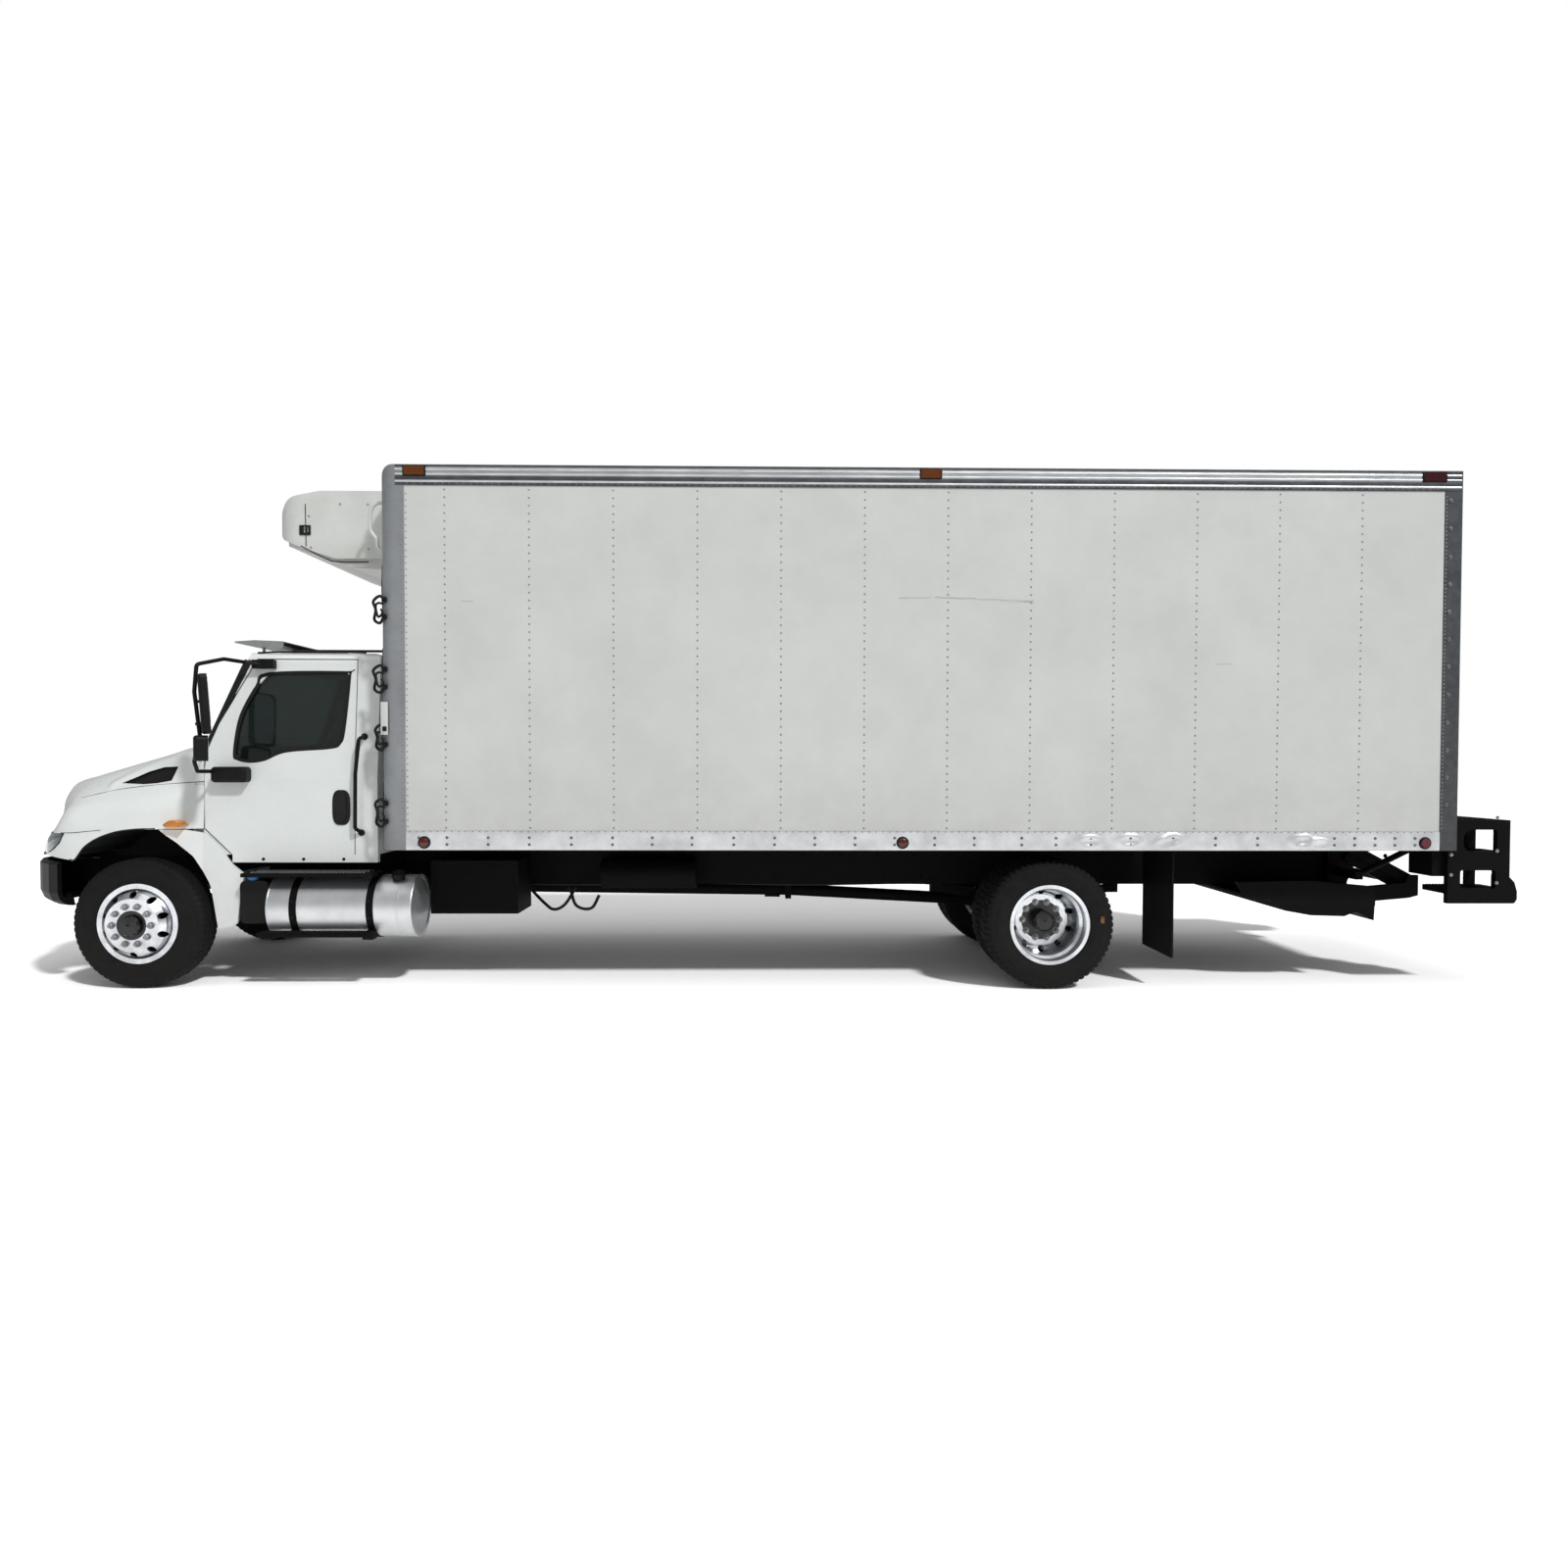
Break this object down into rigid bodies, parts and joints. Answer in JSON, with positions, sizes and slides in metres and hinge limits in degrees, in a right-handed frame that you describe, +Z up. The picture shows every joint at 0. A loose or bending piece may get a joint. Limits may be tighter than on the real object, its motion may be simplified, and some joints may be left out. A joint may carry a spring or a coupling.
{
  "type": "refrigerated straight truck",
  "caption": "Conventional-cab truck with insulated box, nose-mounted refrigeration unit, roll-up rear door and tuck-under lift gate; rolls and steers.",
  "frame": {"origin": "on the road, midway between bumper face and rear bumpers, on the centre plane", "axes": "+X forward, +Y to the driver's left, +Z up"},
  "size_m": [11.28, 3.0078, 3.841],
  "materials": {
    "white_paint": "gloss white enamel",
    "box_sheet": "satin white prepainted sheet",
    "box_alloy": "mill-finish extrusion",
    "portal_steel": "dark grey galvanised steel",
    "polished_alloy": "polished",
    "tank_alloy": "brushed",
    "tyre_rubber": "road tyre",
    "black_steel": "satin black",
    "engine_iron": "painted casting",
    "black_plastic": "moulded",
    "cab_trim": "grained trim and cloth",
    "clear_glass": "tinted",
    "amber_lens": "moulded lens",
    "red_lens": "moulded lens",
    "grey_plastic": "moulded",
    "flap_rubber": "moulded flap"
  },
  "bodies": {
    "chassis": {"box_floor": "box_alloy", "box_front_wall": "box_alloy", "box_roof": "box_alloy", "box_sides": "box_sheet", "cab_glass": "clear_glass", "cab_interior": "cab_trim", "cab_shell": "white_paint", "engine_block": "engine_iron", "evaporator": "grey_plastic", "fender_skirts": "white_paint", "fluid_tank": "black_plastic", "frame": "black_steel", "frame_boxes": "black_steel", "front_axle": "black_steel", "front_bumper": "black_plastic", "fuel_tank": "tank_alloy", "grab_handles": "black_plastic", "lift_gate_mount": "black_steel", "marker_lamps_amber": "amber_lens", "marker_lamps_red": "red_lens", "mudflaps": "flap_rubber", "rear_axle": "black_steel", "rear_portal": "portal_steel", "rear_step_frame": "black_steel", "reefer_grille": "black_plastic", "reefer_shell": "white_paint", "roll_door": "box_sheet", "roof_deflector": "grey_plastic", "seats": "cab_trim", "side_steps": "black_steel"},
    "hood": {"hood_shell": "white_paint", "grille": "black_plastic", "headlamps": "clear_glass", "hood_vents": "black_plastic", "wheel_well_liners": "black_plastic", "fender_lamps": "amber_lens"},
    "door_left": {"door_left": "white_paint", "door_glass_left": "clear_glass", "mirror_left": "black_plastic"},
    "door_right": {"door_right": "white_paint", "door_glass_right": "clear_glass", "mirror_right": "black_plastic"},
    "knuckle_left": {"knuckle_left": "black_steel"},
    "knuckle_right": {"knuckle_right": "black_steel"},
    "tie_rod": {"tie_rod": "black_steel"},
    "wheel_front_left": {"tyre_front_left": "tyre_rubber", "rim_front_left": "polished_alloy"},
    "wheel_front_right": {"tyre_front_right": "tyre_rubber", "rim_front_right": "polished_alloy"},
    "wheels_rear_left": {"tyres_rear_left": "tyre_rubber", "rims_rear_left": "polished_alloy"},
    "wheels_rear_right": {"tyres_rear_right": "tyre_rubber", "rims_rear_right": "polished_alloy"},
    "lift_arms": {"lift_arms": "black_steel"},
    "parallel_arms": {"parallel_arms": "black_steel"},
    "lift_platform": {"lift_platform": "black_steel"}
  },
  "joints": [
    {"name": "steer_left", "type": "hinge", "parent": "chassis", "child": "knuckle_left", "pos_m": [4.665, 0.862, 0.485], "axis": [0, 0, 1], "range_deg": [-40, 40]},
    {"name": "steer_right", "type": "hinge", "parent": "chassis", "child": "knuckle_right", "pos_m": [4.665, -0.862, 0.485], "axis": [0, 0, 1], "range_deg": [-40, 40]},
    {"name": "tie_rod_pin", "type": "hinge", "parent": "knuckle_left", "child": "tie_rod", "pos_m": [4.455, 0.862, 0.368], "axis": [0, 0, 1], "range_deg": [-40, 40]},
    {"name": "roll_front_left", "type": "hinge", "parent": "knuckle_left", "child": "wheel_front_left", "pos_m": [4.665, 1.022, 0.485], "axis": [0, 1, 0], "continuous": true},
    {"name": "roll_front_right", "type": "hinge", "parent": "knuckle_right", "child": "wheel_front_right", "pos_m": [4.665, -1.022, 0.485], "axis": [0, 1, 0], "continuous": true},
    {"name": "roll_rear_left", "type": "hinge", "parent": "chassis", "child": "wheels_rear_left", "pos_m": [-2.115, 0.927, 0.485], "axis": [0, 1, 0], "continuous": true},
    {"name": "roll_rear_right", "type": "hinge", "parent": "chassis", "child": "wheels_rear_right", "pos_m": [-2.115, -0.927, 0.485], "axis": [0, 1, 0], "continuous": true},
    {"name": "hood_tilt", "type": "hinge", "parent": "chassis", "child": "hood", "pos_m": [5.55, 0, 0.952], "axis": [0, 1, 0], "range_deg": [0, 60]},
    {"name": "door_left_swing", "type": "hinge", "parent": "chassis", "child": "door_left", "pos_m": [4.212, 1.04, 1.5], "axis": [0, 0, -1], "range_deg": [0, 65]},
    {"name": "door_right_swing", "type": "hinge", "parent": "chassis", "child": "door_right", "pos_m": [4.212, -1.04, 1.5], "axis": [0, 0, 1], "range_deg": [0, 65]},
    {"name": "lift_arm_swing", "type": "hinge", "parent": "chassis", "child": "lift_arms", "pos_m": [-4.745, 0, 0.92], "axis": [0, -1, 0], "range_deg": [0, 50]},
    {"name": "parallel_arm_swing", "type": "hinge", "parent": "chassis", "child": "parallel_arms", "pos_m": [-4.745, 0, 1], "axis": [0, -1, 0], "range_deg": [0, 50]},
    {"name": "platform_level", "type": "hinge", "parent": "lift_arms", "child": "lift_platform", "pos_m": [-5.215, 0, 0.67], "axis": [0, -1, 0], "range_deg": [-50, 0]}
  ],
  "couplings": [
    {"joint": "steer_right", "follows": "steer_left", "ratio": 1},
    {"joint": "tie_rod_pin", "follows": "steer_left", "ratio": -1},
    {"joint": "parallel_arm_swing", "follows": "lift_arm_swing", "ratio": 1},
    {"joint": "platform_level", "follows": "lift_arm_swing", "ratio": -1}
  ]
}
